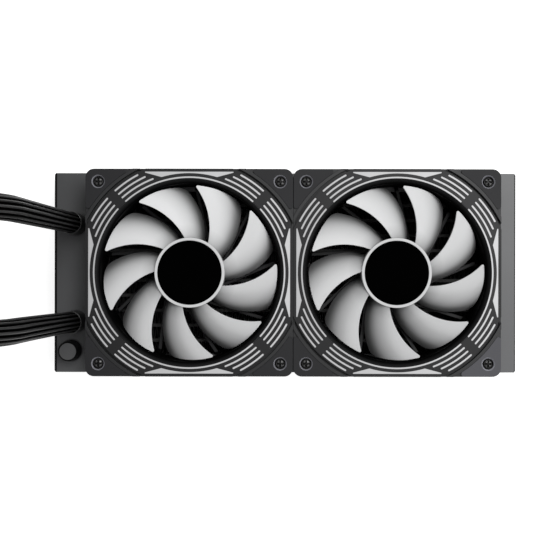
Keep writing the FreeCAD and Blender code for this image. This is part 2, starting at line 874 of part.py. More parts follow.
def pump_stator():
    """Square core frame about the well, with a coil on each of two sides."""
    low = base_top + housing_wall + seat_gap
    high = low + pump_stator_height
    half = pump_stator_outer
    core = box(-half, half, -half, half, low, high)
    return core.cut(rod(can_r + seat_gap, 0, housing_top))


def pump_board():
    low = base_top + housing_wall + pump_stator_height + 2 * seat_gap
    board = octagon(pump_board_half, low, low + pump_board_depth)
    return board.cut(rod(can_r + seat_gap, 0, base_top + impeller_hub_height + can_wall + seat_gap))


def bracket():
    """Mounting ring round the base, with an arm to each corner hole."""
    low = base_top + bracket_rise
    high = low + bracket_depth
    ring = rod(bracket_ring_r, low, high)
    half = bracket_arm / 2
    arm_end = bracket_hole_half * math.sqrt(2)
    arm = fuse([
        box(pump_r, arm_end, -half, half, low, high),
        rod(bracket_end_r, low, high, arm_end, 0),
    ]).cut(rod(bracket_hole_r, low - cut_over, high + cut_over, arm_end, 0))
    arms = [turned(arm, 45 + 90 * quarter) for quarter in range(4)]
    return fuse([ring] + arms).cut(rod(pump_r + seat_gap, 0, housing_top))


def elbow(side):
    """A turned elbow from the base's wall, up to the end of the hose."""
    y = side * elbow_y
    wall_x = -math.sqrt(pump_r ** 2 - (elbow_y - elbow_r) ** 2) + seat_gap
    axis_x = -pump_r - elbow_reach
    along = Part.makeCylinder(elbow_r, wall_x - axis_x, Vector(axis_x, y, elbow_z), Vector(1, 0, 0))
    body = rod(pump_r + seat_gap, 0, housing_top)
    up = rod(elbow_r, elbow_z, barb_top, axis_x, y)
    knee = Part.makeSphere(elbow_r, Vector(axis_x, y, elbow_z))
    whole = fuse([along.cut(body), up, knee])
    bores = [
        Part.makeCylinder(port_bore_r, elbow_reach + elbow_r, Vector(axis_x, y, elbow_z), Vector(1, 0, 0)),
        rod(port_bore_r, elbow_z, barb_top + cut_over, axis_x, y),
    ]
    return whole.cut(bores)


def write(name, shape):
    shape.exportStep(os.path.join("parts", name + ".step"))


def main():
    os.makedirs("parts", exist_ok=True)
    write("left_tank", left_tank())
    write("right_tank", tank(1, right_tank_length, False))
    write("core_tubes", core_tubes())
    write("core_fins", core_fins())
    write("upper_side_plate", side_plate(1))
    write("lower_side_plate", side_plate(-1))
    write("fill_cap", fill_cap())
    write("fill_cap_seal", cap_seal())
    for name, side in (("upper", 1), ("lower", -1)):
        write(name + "_tank_collar", tank_collar(side))
        write(name + "_hose", hose(side))
        write(name + "_pump_elbow", moved(elbow(side), pump_x, pump_y, 0))
    fan_pieces = {
        "frame": fan_frame(),
        "light_board": light_board(),
        "light_guide": light_guide(),
        "light_cover": light_cover(),
        "corner_pads": corner_pads(),
        "rotor": rotor(),
        "hub_disc": hub_disc(),
        "shaft": fan_shaft(),
        "bearing": bearing(),
        "magnet": magnet(),
        "stator": stator(),
        "coils": coils(),
        "motor_board": motor_board(),
    }
    for name, x in (("left", -fan_pitch / 2), ("right", fan_pitch / 2)):
        for piece, shape in fan_pieces.items():
            write(name + "_fan_" + piece, moved(shape, x, 0, radiator_depth))
    write("fan_screws", fan_screws())
    pump_pieces = {
        "cold_plate": cold_plate(),
        "cold_plate_seal": plate_seal(),
        "pump_base": pump_base(),
        "pump_housing": pump_housing(),
        "pump_cover": pump_cover(),
        "pump_impeller": impeller(),
        "pump_shaft": pump_shaft(),
        "pump_stator": pump_stator(),
        "pump_board": pump_board(),
        "pump_bracket": bracket(),
    }
    for name, shape in pump_pieces.items():
        write(name, moved(shape, pump_x, pump_y, 0))


main()
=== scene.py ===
# Dresses the liquid cooler: a radiator with two lit fans, two ribbed hoses and a pump head.
import json

import bpy
import numpy as np
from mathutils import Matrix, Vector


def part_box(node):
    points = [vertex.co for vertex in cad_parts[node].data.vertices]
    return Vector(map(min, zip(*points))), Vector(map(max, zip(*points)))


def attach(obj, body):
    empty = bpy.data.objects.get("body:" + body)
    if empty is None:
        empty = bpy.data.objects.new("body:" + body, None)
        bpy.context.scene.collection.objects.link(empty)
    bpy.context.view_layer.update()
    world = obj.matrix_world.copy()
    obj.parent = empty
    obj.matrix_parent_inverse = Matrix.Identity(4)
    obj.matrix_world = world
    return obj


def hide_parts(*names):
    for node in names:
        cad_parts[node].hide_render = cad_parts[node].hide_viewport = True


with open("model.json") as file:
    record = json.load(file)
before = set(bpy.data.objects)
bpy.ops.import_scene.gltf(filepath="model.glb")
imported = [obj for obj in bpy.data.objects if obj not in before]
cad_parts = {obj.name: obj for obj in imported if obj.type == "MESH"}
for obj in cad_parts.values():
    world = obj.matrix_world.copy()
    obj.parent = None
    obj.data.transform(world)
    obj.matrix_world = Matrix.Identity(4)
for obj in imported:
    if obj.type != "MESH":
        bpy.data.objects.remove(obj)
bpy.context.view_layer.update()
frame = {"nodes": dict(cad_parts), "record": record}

MM = 0.001
TURN = 2.0 * np.pi
NODES = frame["nodes"]
SLOT_OF_NODE = {part["node"]: part["material_slot"] for part in frame["record"]["subparts"]}


# Places and radii on the solids

FAN_X = np.mean([corner.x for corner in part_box("right_fan_frame")])
FAN_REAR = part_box("left_fan_frame")[0].z
ROTOR_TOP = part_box("left_fan_rotor")[1].z
SCREW_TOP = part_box("fan_screws")[1].z
HUB_R = 20.25 * MM        # outside of the white rim round the black disc
DUCT_MOUTH_R = 54.5 * MM  # front end of the duct's flare
CAP_LOW, CAP_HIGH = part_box("fill_cap")
CAP_R = (CAP_HIGH.x - CAP_LOW.x) / 2.0
CAP_FACE_R = 4.95 * MM    # painted face of the fill cap, inside the edge that painted shade blackens
TANK_LOW, TANK_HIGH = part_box("left_tank")
PUMP_CENTRE = tuple(sum(corner[axis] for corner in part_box("pump_housing")) / 2.0 for axis in range(3))


# Camera, at the photograph's place over the fans

CAMERA_PLACE = (-0.0105, -0.0013, 0.582)
CAMERA_ROLL = 0.0016      # radians, as the photograph is turned
CAMERA_LENS = 60.2
SENSOR_WIDTH = 36.0
CLIP_NEAR = 0.01
CLIP_FAR = 50.0


def photo_camera():
    data = bpy.data.cameras.new("photo_camera")
    data.lens = CAMERA_LENS
    data.sensor_width = SENSOR_WIDTH
    data.clip_start = CLIP_NEAR
    data.clip_end = CLIP_FAR
    camera = bpy.data.objects.new("photo_camera", data)
    camera.location = CAMERA_PLACE
    camera.rotation_euler.z = CAMERA_ROLL
    bpy.context.scene.collection.objects.link(camera)
    bpy.context.scene.camera = camera


# Mesh helpers

def mesh_piece(name, points, faces, smooth=True):
    mesh = bpy.data.meshes.new(name)
    mesh.from_pydata(points.reshape(-1, 3).tolist(), [], faces)
    mesh.polygons.foreach_set("use_smooth", np.full(len(faces), smooth))
    mesh.update()
    piece = bpy.data.objects.new(name, mesh)
    bpy.context.scene.collection.objects.link(piece)
    return piece


def grid_faces(rows, columns, first=0, close_rows=False, close_columns=False):
    """Quads between the neighbours of a grid of points, looking to columns crossed with rows."""
    index = first + np.arange(rows * columns).reshape(rows, columns)
    if close_rows:
        index = np.vstack([index, index[:1]])
    if close_columns:
        index = np.hstack([index, index[:, :1]])
    corners = [index[:-1, :-1], index[:-1, 1:], index[1:, 1:], index[1:, :-1]]
    return np.stack(corners, axis=-1).reshape(-1, 4).tolist()


def tube_faces(rows, columns, first=0):
    """The quads of a closed tube, with a flat cap at each end."""
    faces = grid_faces(rows, columns, first, close_columns=True)
    ring = np.arange(columns) + first
    faces.append(ring[::-1].tolist())
    faces.append((ring + (rows - 1) * columns).tolist())
    return faces


def ring_angles(columns):
    """Even steps round one turn."""
    return np.linspace(0.0, TURN, columns, endpoint=False)


def turned_points(x, y, radius, angle, height):
    """Points about an upright axis, from radii, angles and heights that spread to one grid."""
    grid = np.broadcast_arrays(x + radius * np.cos(angle), y + radius * np.sin(angle), height)
    return np.stack(grid, axis=-1)


def unit(vectors):
    """The rows of an array, each brought to length one."""
    return vectors / np.linalg.norm(vectors, axis=1, keepdims=True)


def smooth_step(low, high, value):
    """Zero below low, one above high, and a smooth cubic between."""
    share = np.clip((value - low) / (high - low), 0.0, 1.0)
    return share * share * (3.0 - 2.0 * share)


# Hoses, from the collars on the tank to the barbs on the pump head

COLLAR_WALL = 0.4 * MM    # collar beyond the hose
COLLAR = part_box("upper_tank_collar")
HOSE_DIAMETER = COLLAR[1].x - COLLAR[0].x - 2.0 * COLLAR_WALL
HOSE_RIBS = 14
RIB_DEPTH = 0.8 * MM
RIB_SHARPNESS = 1.3
POINTS_PER_RIB = 10
ROUTE_ORDER = 3           # of the NURBS curve along the route
ROUTE_STEPS = 40          # between two of the route's points
UPPER_ROUTE = [
    (-0.1305, 0.0293, 0.033),
    (-0.1305, 0.0289, 0.135),
    (-0.1305, 0.0288, 0.181),
    (-0.1615, 0.0274, 0.2185),
    (-0.2090, 0.0246, 0.2265),
    (-0.2515, 0.0206, 0.2040),
    (-0.2703, 0.0160, 0.1700),
    (-0.2765, 0.0120, 0.1000),
    (-0.2765, 0.0120, 0.0280),
]
LOWER_ROUTE = [
    (-0.1305, -0.0293, 0.033),
    (-0.1305, -0.0275, 0.135),
    (-0.1305, -0.0273, 0.181),
    (-0.1615, -0.0262, 0.2185),
    (-0.2090, -0.0240, 0.2265),
    (-0.2515, -0.0205, 0.2040),
    (-0.2703, -0.0160, 0.1700),
    (-0.2765, -0.0120, 0.1000),
    (-0.2765, -0.0120, 0.0280),
]


def smooth_line(route):
    """Points read from the quadratic NURBS curve that has the route's points as its control points."""
    data = bpy.data.curves.new("route", "CURVE")
    data.dimensions = "3D"
    spline = data.splines.new("NURBS")
    spline.points.add(len(route) - 1)
    weighted = np.hstack([np.array(route), np.ones((len(route), 1))])
    spline.points.foreach_set("co", weighted.ravel())
    spline.order_u = ROUTE_ORDER
    spline.use_endpoint_u = True
    spline.resolution_u = ROUTE_STEPS
    guide = bpy.data.objects.new("route", data)
    bpy.context.scene.collection.objects.link(guide)
    bpy.context.view_layer.update()
    mesh = bpy.data.meshes.new_from_object(guide)
    line = np.empty(len(mesh.vertices) * 3)
    mesh.vertices.foreach_get("co", line)
    bpy.data.objects.remove(guide)
    bpy.data.curves.remove(data)
    bpy.data.meshes.remove(mesh)
    return line.reshape(-1, 3)


def hose(name, route):
    """A tube about the smooth line, whose radius is a wave of the angle and so makes ribs along it. Its crest
    attribute is one on a rib and zero in a groove."""
    line = smooth_line(route)
    along = unit(np.gradient(line, axis=0))
    across = unit(np.array([0.0, 1.0, 0.0]) - along * along[:, 1:2])
    up = np.cross(along, across)
    angle = ring_angles(HOSE_RIBS * POINTS_PER_RIB)
    wave = np.cos((angle + TURN / 4.0) * HOSE_RIBS)
    crest = (0.5 + 0.5 * wave) ** RIB_SHARPNESS
    radius = HOSE_DIAMETER / 2.0 - RIB_DEPTH * (1.0 - crest)
    ring = across[:, None] * (radius * np.cos(angle))[:, None]
    ring = ring + up[:, None] * (radius * np.sin(angle))[:, None]
    points = line[:, None] + ring
    piece = mesh_piece(name, points, tube_faces(len(line), len(angle)))
    piece.data.attributes.new("crest", "FLOAT", "POINT").data.foreach_set("value", np.tile(crest, len(line)))
    node = name.replace("_ribbed", "")
    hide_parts(node)
    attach(piece, "root")
    return piece


# Sleeves round the feet of the hoses, taller than the plain collars

SLEEVE_BORE_R = HOSE_DIAMETER / 2.0 + 0.2 * MM
SLEEVE_WALL = 0.4 * MM
SLEEVE_HEIGHT = 17.0 * MM
SLEEVE_ROUND = 0.15 * MM
SLEEVE_COLUMNS = 96


def hose_sleeve(name, node):
    """A tube with a rounded lip: a closed outline of radius and height, turned about the port's axis."""
    low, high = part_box(node)
    outer = SLEEVE_BORE_R + SLEEVE_WALL
    top = low.z + SLEEVE_HEIGHT
    outline = np.array([
        (outer, low.z), (outer, top - SLEEVE_ROUND), (outer - SLEEVE_ROUND, top),
        (SLEEVE_BORE_R + SLEEVE_ROUND, top), (SLEEVE_BORE_R, top - SLEEVE_ROUND), (SLEEVE_BORE_R, low.z),
    ])
    x = (low.x + high.x) / 2.0
    y = (low.y + high.y) / 2.0
    points = turned_points(x, y, outline[:, :1], ring_angles(SLEEVE_COLUMNS), outline[:, 1:])
    faces = grid_faces(len(outline), SLEEVE_COLUMNS, close_rows=True, close_columns=True)
    piece = mesh_piece(name, points, faces, smooth=False)
    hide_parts(node)
    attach(piece, "root")
    return piece


# Core fins, one thin folded sheet in each space between the flat tubes

FIN_ROWS = 13
FIN_FOLD = 1.27 * MM
FIN_SHEET = 0.12 * MM
FIN_CREST = 0.3           # share of each fold that lies along the tube
TUBE_THICKNESS = 1.8 * MM
BRAZE_GAP = 0.04 * MM


def fin_line(x, y):
    """The middle of a bent sheet, and the step from it to one face along the mitre of each corner."""
    centre = np.stack([x, y], axis=1)
    steps = unit(np.diff(centre, axis=0))
    before = np.vstack([steps[:1], steps])
    after = np.vstack([steps, steps[-1:]])
    along = unit(before + after)
    mitre = FIN_SHEET / 2.0 / np.sum(along * before, axis=1)
    return centre, np.stack([-along[:, 1], along[:, 0]], axis=1) * mitre[:, None]


def fine_fins():
    """A band in each space, which steps up and down between two tubes in flat crests and steep walls, and is
    carried through the core's depth."""
    low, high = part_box("core_fins")
    pitch = (high.y - low.y + TUBE_THICKNESS) / FIN_ROWS
    reach = (pitch - TUBE_THICKNESS - FIN_SHEET) / 2.0 - BRAZE_GAP
    folds = int((high.x - low.x) / FIN_FOLD)
    fold = np.arange(folds)
    start = low.x + (fold + 0.5 - FIN_CREST / 2.0) * (high.x - low.x) / folds
    x = np.stack([start, start + FIN_CREST * FIN_FOLD], axis=1).ravel()
    y = np.repeat(np.where(fold % 2 == 0, reach, -reach), 2)
    centre, side = fin_line(x, y)
    sheets = []
    faces = []
    for row in range(FIN_ROWS):
        middle = np.array([0.0, low.y - TUBE_THICKNESS / 2.0 + (row + 0.5) * pitch])
        upper = centre + middle + side
        lower = centre + middle - side
        corners = [(lower, low.z), (lower, high.z), (upper, high.z), (upper, low.z)]
        ring = [np.column_stack([edge, np.full(len(edge), level)]) for edge, level in corners]
        faces += tube_faces(len(x), len(ring), row * len(x) * len(ring))
        sheets.append(np.stack(ring, axis=1))
    piece = mesh_piece("fine_core_fins", np.concatenate(sheets), faces, smooth=False)
    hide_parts("core_fins")
    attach(piece, "root")
    return piece


# Fan screws, with rounded heads and cross recesses

SCREW_COLUMNS = 64
SCREW_HEAD_R = 2.75 * MM
SCREW_HEAD_HEIGHT = 1.6 * MM
SCREW_HEAD_SIDE = 0.7 * MM
SCREW_SHANK_R = 1.45 * MM
THREAD_PITCH = 1.0 * MM
THREAD_DEPTH = 0.12 * MM
DOME_ROWS = 30
DOME_POWER = 2.6          # how late the dome falls toward the head's side
DOME_MIDDLE = 0.01        # radius of the innermost row, as a share of the head's
RECESS_ARM = 0.5 * MM
RECESS_REACH = 2.2 * MM
RECESS_DEPTH = 1.1 * MM
RECESS_FLOOR = 0.75       # where the recess's sides start to rise, as a share of its arm and reach
RECESS_EDGE = 1.3         # where they end across the arm


def cross_recess(x, y):
    """Depth of the driver's recess: two crossing arms with sloping sides, deepest in the middle."""
    across = np.minimum(np.abs(x), np.abs(y))
    along = np.maximum(np.abs(x), np.abs(y))
    inside = 1.0 - smooth_step(RECESS_FLOOR * RECESS_ARM, RECESS_EDGE * RECESS_ARM, across)
    inside *= 1.0 - smooth_step(RECESS_FLOOR * RECESS_REACH, RECESS_REACH, along)
    return RECESS_DEPTH * inside


def screw(x, y, seat, tip):
    """Points of a screw on a polar grid: a threaded shank, the side of the head, and a dome that falls with a
    power of the radius, with its recess."""
    shank_rows = 2 * int((seat - tip) / THREAD_PITCH) + 1
    shank_z = np.linspace(tip, seat, shank_rows)
    shank_r = SCREW_SHANK_R - THREAD_DEPTH * (np.arange(shank_rows) % 2)
    side_r = SCREW_HEAD_R * np.ones(2)
    side_z = seat + SCREW_HEAD_SIDE * np.array([0.0, 1.0])
    dome_r = SCREW_HEAD_R * np.linspace(1.0, DOME_MIDDLE, DOME_ROWS)
    dome_rise = SCREW_HEAD_HEIGHT - SCREW_HEAD_SIDE
    dome_z = seat + SCREW_HEAD_SIDE + dome_rise * (1.0 - (dome_r / SCREW_HEAD_R) ** DOME_POWER)
    radius = np.concatenate([shank_r, side_r, dome_r[1:]])[:, None]
    height = np.concatenate([shank_z, side_z, dome_z[1:]])[:, None]
    angle = ring_angles(SCREW_COLUMNS)
    on_head = height > seat + 0.5 * SCREW_HEAD_SIDE
    sink = cross_recess(radius * np.cos(angle), radius * np.sin(angle)) * on_head
    return turned_points(x, y, radius, angle, height - sink)


def fan_screws():
    """Four screws to a fan, one at each corner."""
    low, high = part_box("fan_screws")
    seat = high.z - SCREW_HEAD_HEIGHT
    outer = high.x - SCREW_HEAD_R
    inner = 2.0 * FAN_X - outer
    side = high.y - SCREW_HEAD_R
    places = [(x, y) for x in (-outer, -inner, inner, outer) for y in (-side, side)]
    points = [screw(x, y, seat, low.z) for x, y in places]
    rows, columns = points[0].shape[:2]
    faces = []
    for number in range(len(points)):
        faces += tube_faces(rows, columns, number * rows * columns)
    piece = mesh_piece("cross_head_screws", np.concatenate(points), faces)
    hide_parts("fan_screws")
    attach(piece, "root")
    return piece


# Shader helpers

def add(tree, kind, settings=None, **inputs):
    """A shader node. Each input is a value, or the output that feeds it."""
    item = tree.nodes.new("ShaderNode" + kind)
    for label, value in (settings or {}).items():
        setattr(item, label, value)
    for label, value in inputs.items():
        feed(tree, item.inputs[label.replace("_", " ")], value)
    return item


def feed(tree, socket, value):
    """Links an output to an input, or sets a plain value on it."""
    if isinstance(value, bpy.types.NodeSocket):
        tree.links.new(value, socket)
    else:
        socket.default_value = value


def math_node(tree, operation, *values):
    item = add(tree, "Math", {"operation": operation})
    for socket, value in zip(item.inputs, values):
        feed(tree, socket, value)
    return item.outputs[0]


def vector_node(tree, operation, first, second=None, **inputs):
    item = add(tree, "VectorMath", {"operation": operation}, **inputs)
    feed(tree, item.inputs[0], first)
    if second is not None:
        feed(tree, item.inputs[1], second)
    return item.outputs["Value" if operation == "DOT_PRODUCT" else "Vector"]


def ramp(tree, value, low, high, start=0.0, end=1.0, **settings):
    """Runs from start to end while the value runs from low to high, and stays there beyond them."""
    item = add(tree, "MapRange", settings, Value=value, From_Min=low, From_Max=high, To_Min=start, To_Max=end)
    return item.outputs[0]


def noise(tree, place, **inputs):
    item = add(tree, "TexNoise", Vector=place, **inputs)
    return item.outputs["Factor"] if "Factor" in item.outputs else item.outputs["Fac"]


def object_place(tree):
    """The X, Y and Z of the point on its piece."""
    return add(tree, "SeparateXYZ", Vector=add(tree, "TexCoord").outputs["Object"]).outputs


def distance(tree, x, y):
    """Square root of x squared plus y squared."""
    squares = math_node(tree, "MULTIPLY_ADD", x, x, math_node(tree, "MULTIPLY", y, y))
    return math_node(tree, "SQRT", squares)


def from_fan_axis(tree):
    """The point's X and Y from the axis of the nearer fan, and its distance from it."""
    place = object_place(tree)
    offset = math_node(tree, "SUBTRACT", math_node(tree, "ABSOLUTE", place["X"]), FAN_X)
    x = math_node(tree, "MULTIPLY", offset, math_node(tree, "SIGN", place["X"]))
    return x, place["Y"], distance(tree, x, place["Y"])


def from_cap_axis(tree):
    """Distance from the axis of the fill cap."""
    place = object_place(tree)
    x = math_node(tree, "SUBTRACT", place["X"], (CAP_LOW.x + CAP_HIGH.x) / 2.0)
    y = math_node(tree, "SUBTRACT", place["Y"], (CAP_LOW.y + CAP_HIGH.y) / 2.0)
    return distance(tree, x, y)


UPWARD = (0.3, 1.1)       # limits of the normal's upward share on faces that look up, flat or slanted
SLANTED = (0.3, 0.95)     # and on slanted ones alone


def tilted(tree, low, high):
    """One where the upward share of the face's normal lies between two values."""
    tilt = add(tree, "SeparateXYZ", Vector=add(tree, "NewGeometry").outputs["True Normal"]).outputs["Z"]
    above = math_node(tree, "GREATER_THAN", tilt, low)
    below = math_node(tree, "LESS_THAN", tilt, high)
    return math_node(tree, "MULTIPLY", above, below)


# Effects that several finishes share

NOISE_MIDDLE = 0.5
GRAIN_DETAIL = 3.0
GRAIN_ROUGHNESS = 0.55
PATCH_DETAIL = 2.0
PATCH_ROUGHNESS = 0.5
SPECK_SHARE = 0.5         # strength of the fine specks, beside that of the patches
BEVEL_SAMPLES = 4
TOOL_DETAIL = 3.0
TOOL_ROUGHNESS = 0.7
TOOL_TONE = 0.35


def effect(name, inputs, outputs):
    """An empty node group with its named sockets."""
    group = bpy.data.node_groups.new(name, "ShaderNodeTree")
    for label, kind in inputs:
        group.interface.new_socket(label, in_out="INPUT", socket_type="NodeSocket" + kind)
    for label, kind in outputs:
        group.interface.new_socket(label, in_out="OUTPUT", socket_type="NodeSocket" + kind)
    return group, group.nodes.new("NodeGroupInput").outputs, group.nodes.new("NodeGroupOutput").inputs


def moulded_grain():
    """Fine bumps of the mould or spray, and broad faint patches of tone."""
    group, given, result = effect(
        "moulded_grain",
        [("Grain Size", "Float"), ("Patch Size", "Float"), ("Patch Strength", "Float")],
        [("Height", "Float"), ("Tone", "Float"), ("Patches", "Float")],
    )
    place = add(group, "TexCoord").outputs["Object"]
    grains = math_node(group, "DIVIDE", 1.0, given["Grain Size"])
    fine = noise(group, place, Scale=grains, Detail=GRAIN_DETAIL, Roughness=GRAIN_ROUGHNESS)
    patches = math_node(group, "DIVIDE", 1.0, given["Patch Size"])
    broad = noise(group, place, Scale=patches, Detail=PATCH_DETAIL, Roughness=PATCH_ROUGHNESS)
    centred = math_node(group, "SUBTRACT", broad, NOISE_MIDDLE)
    speck = math_node(group, "SUBTRACT", fine, NOISE_MIDDLE)
    speck_strength = math_node(group, "MULTIPLY", given["Patch Strength"], SPECK_SHARE)
    tone = math_node(group, "MULTIPLY_ADD", centred, given["Patch Strength"], 1.0)
    tone = math_node(group, "MULTIPLY_ADD", speck, speck_strength, tone)
    group.links.new(fine, result["Height"])
    group.links.new(tone, result["Tone"])
    group.links.new(centred, result["Patches"])
    return group


def soft_edges():
    """The rounding of moulded and painted edges: a bevelled normal, and a mask of where it turns."""
    group, given, result = effect(
        "soft_edges", [("Radius", "Float")], [("Normal", "Vector"), ("Edge", "Float")],
    )
    bevelled = add(group, "Bevel", {"samples": BEVEL_SAMPLES}, Radius=given["Radius"]).outputs[0]
    flat = add(group, "NewGeometry").outputs["Normal"]
    agreement = vector_node(group, "DOT_PRODUCT", bevelled, flat)
    group.links.new(bevelled, result["Normal"])
    group.links.new(math_node(group, "SUBTRACT", 1.0, agreement), result["Edge"])
    return group


def turned_lines():
    """Fine rings of a lathe or a polishing wheel about an upright axis."""
    group, given, result = effect(
        "turned_lines",
        [("Centre", "Vector"), ("Spacing", "Float")],
        [("Height", "Float"), ("Tone", "Float")],
    )
    place = add(group, "TexCoord").outputs["Object"]
    local = vector_node(group, "SUBTRACT", place, given["Centre"])
    parts = add(group, "SeparateXYZ", Vector=local).outputs
    radius = math_node(group, "DIVIDE", distance(group, parts["X"], parts["Y"]), given["Spacing"])
    level = math_node(group, "DIVIDE", parts["Z"], given["Spacing"])
    spot = add(group, "CombineXYZ", X=radius, Y=level).outputs[0]
    rings = noise(group, spot, Scale=1.0, Detail=TOOL_DETAIL, Roughness=TOOL_ROUGHNESS)
    centred = math_node(group, "SUBTRACT", rings, NOISE_MIDDLE)
    group.links.new(rings, result["Height"])
    group.links.new(math_node(group, "MULTIPLY_ADD", centred, TOOL_TONE, 1.0), result["Tone"])
    return group


GRAIN = moulded_grain()
EDGES = soft_edges()
TURNED = turned_lines()


def placed(tree, group, **inputs):
    """A shared effect with this finish's own values. Returns its outputs."""
    item = tree.nodes.new("ShaderNodeGroup")
    item.node_tree = group
    for label, value in inputs.items():
        item.inputs[label.replace("_", " ")].default_value = value
    return item.outputs


# Finishes

PATCH_SIZE = 22.0 * MM
PATCH_GLOSS = 0.1         # how far the patches change the roughness
MACHINED_EDGE = 0.15 * MM
MACHINED_GLOSS = 0.15     # how far the tool lines roughen the metal


def shader_of(tree):
    return next(item for item in tree.nodes if item.type == "BSDF_PRINCIPLED")


def new_material(name):
    material = bpy.data.materials.new(name)
    material.use_nodes = True
    return material, material.node_tree, shader_of(material.node_tree)


def toned(tree, color, tone):
    """The colour, made lighter or darker by a tone that is one on average."""
    return vector_node(tree, "SCALE", color, Scale=tone)


def moulded(name, color, roughness, grain_size, grain_depth, edge_radius, edge_highlight=0.0, patch=0.12,
            specular=0.5, metallic=0.0):
    """A moulded, sprayed or cast finish: grain in its normal, faint patches, and softly rounded edges, on
    some finishes lightened by a painted highlight.
    """
    material, tree, shader = new_material(name)
    grain = placed(tree, GRAIN, Grain_Size=grain_size * MM, Patch_Size=PATCH_SIZE, Patch_Strength=patch)
    edges = placed(tree, EDGES, Radius=edge_radius * MM)
    # painted highlight: the colour is made lighter where the rounded edges turn
    tone = math_node(tree, "MULTIPLY_ADD", edges["Edge"], edge_highlight, grain["Tone"])
    tree.links.new(toned(tree, color, tone), shader.inputs["Base Color"])
    gloss = math_node(tree, "MULTIPLY_ADD", grain["Patches"], PATCH_GLOSS, roughness)
    tree.links.new(gloss, shader.inputs["Roughness"])
    bump = add(tree, "Bump", Distance=grain_depth * MM, Height=grain["Height"], Normal=edges["Normal"])
    tree.links.new(bump.outputs["Normal"], shader.inputs["Normal"])
    shader.inputs["Metallic"].default_value = metallic
    shader.inputs["Specular IOR Level"].default_value = specular
    return material


def machined(name, color, roughness, centre, spacing, line_depth):
    """Turned or polished bare metal, with its tool lines about an upright axis."""
    material, tree, shader = new_material(name)
    lines = placed(tree, TURNED, Centre=centre, Spacing=spacing * MM)
    edges = placed(tree, EDGES, Radius=MACHINED_EDGE)
    tree.links.new(toned(tree, color, lines["Tone"]), shader.inputs["Base Color"])
    gloss = math_node(tree, "MULTIPLY_ADD", lines["Height"], MACHINED_GLOSS, roughness)
    tree.links.new(gloss, shader.inputs["Roughness"])
    bump = add(tree, "Bump", Distance=line_depth * MM, Height=lines["Height"], Normal=edges["Normal"])
    tree.links.new(bump.outputs["Normal"], shader.inputs["Normal"])
    shader.inputs["Metallic"].default_value = 1.0
    return material


def scaled(tree, factor):
    """Multiplies the base colour of a finish by a factor."""
    color = shader_of(tree).inputs["Base Color"]
    tree.links.new(vector_node(tree, "SCALE", color.links[0].from_socket, Scale=factor), color)


def dulled(tree, factor):
    """Multiplies both the base colour and the sheen of a finish by a factor."""
    scaled(tree, factor)
    sheen = shader_of(tree).inputs["Specular IOR Level"]
    tree.links.new(math_node(tree, "MULTIPLY", factor, sheen.default_value), sheen)


# Painted shade and light on the rotors: depths below the rotor's top, and tones as shares of the blade's own
# colour

BLADE_SHADE_DEPTH = 12.5 * MM
BLADE_LIGHT_DEPTH = 1.0 * MM
BLADE_SHADE_TONE = 0.27
ROOT_REACH = 8.0 * MM     # how far out from the hub the roots carry painted shade
ROOT_SHADE_TONE = 0.5
RIM_SHADE_TONE = 0.94
LEFT_ROTOR_LIGHT = 0.99          # painted light on the two fans' rotors, which makes the right one darker
RIGHT_ROTOR_LIGHT = 0.92
TRAIL_DEPTH = 8.0 * MM
LEAD_DEPTH = 2.0 * MM
TRAIL_LEAN = -0.4         # how far the normals lean at the blades' low and high edges
LEAD_LEAN = 0.25


def blade_light(tree, height, radius):
    """Painted shade on the frosted blades: darker toward their low trailing edges and at their roots, and a
    little darker on the hub's rim.
    """
    light = ramp(
        tree, height, ROTOR_TOP - BLADE_SHADE_DEPTH, ROTOR_TOP - BLADE_LIGHT_DEPTH, BLADE_SHADE_TONE, 1.0,
        interpolation_type="SMOOTHSTEP",
    )
    outward = math_node(tree, "SQRT", ramp(tree, radius, HUB_R, HUB_R + ROOT_REACH))
    root = math_node(tree, "MULTIPLY_ADD", outward, 1.0 - ROOT_SHADE_TONE, ROOT_SHADE_TONE)
    rim = math_node(tree, "MULTIPLY", math_node(tree, "LESS_THAN", radius, HUB_R), RIM_SHADE_TONE)
    return math_node(tree, "MULTIPLY", light, math_node(tree, "MAXIMUM", root, rim))


def lean_normal(tree, x, y, radius, lean):
    """Leans the shading normal clockwise round the fan's axis."""
    to_right = math_node(tree, "DIVIDE", y, radius)
    to_top = math_node(tree, "MULTIPLY", math_node(tree, "DIVIDE", x, radius), -1.0)
    clockwise = add(tree, "CombineXYZ", X=to_right, Y=to_top).outputs[0]
    turned = add(
        tree, "VectorTransform", {"vector_type": "VECTOR", "convert_from": "OBJECT", "convert_to": "WORLD"},
        Vector=clockwise,
    ).outputs[0]
    normal = shader_of(tree).inputs["Normal"]
    step = vector_node(tree, "SCALE", turned, Scale=lean)
    leant = vector_node(tree, "ADD", normal.links[0].from_socket, step)
    tree.links.new(vector_node(tree, "NORMALIZE", leant), normal)


